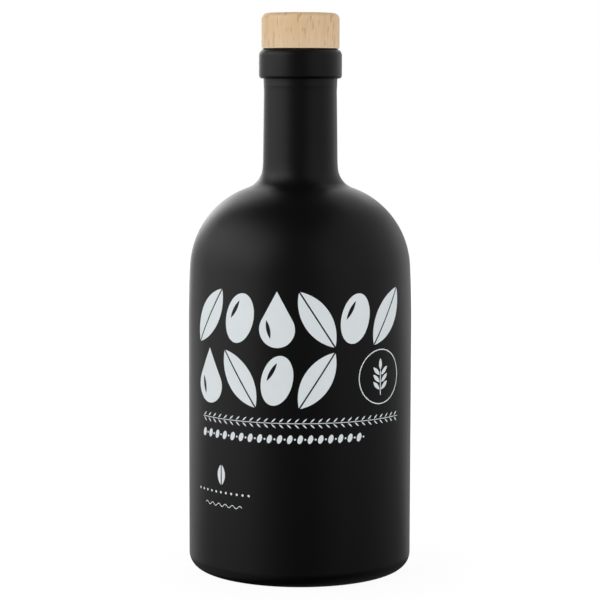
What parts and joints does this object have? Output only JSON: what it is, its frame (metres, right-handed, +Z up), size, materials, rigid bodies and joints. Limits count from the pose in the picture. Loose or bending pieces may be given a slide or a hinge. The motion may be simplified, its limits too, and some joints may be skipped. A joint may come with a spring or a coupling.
{
  "type": "olive oil bottle",
  "caption": "Round-shouldered glass oil bottle with a matt black coating, a slim collared neck and a pale wooden bar-top stopper, shut and full.",
  "frame": {"origin": "middle of the bottle's foot, on the surface that it stands on", "axes": "+Z up along the bottle's axis of turning, -Y towards the printed front, +X to the right as the print is read"},
  "size_m": [0.08, 0.08, 0.1989],
  "materials": {
    "coated_glass": "matt black sprayed coating, opaque, with a pale cool-grey print on the front",
    "pale_wood": "sanded, unvarnished, upright grain with short dark flecks"
  },
  "bodies": {
    "root": {"bottle": "coated_glass", "stopper": "pale_wood"}
  },
  "joints": []
}
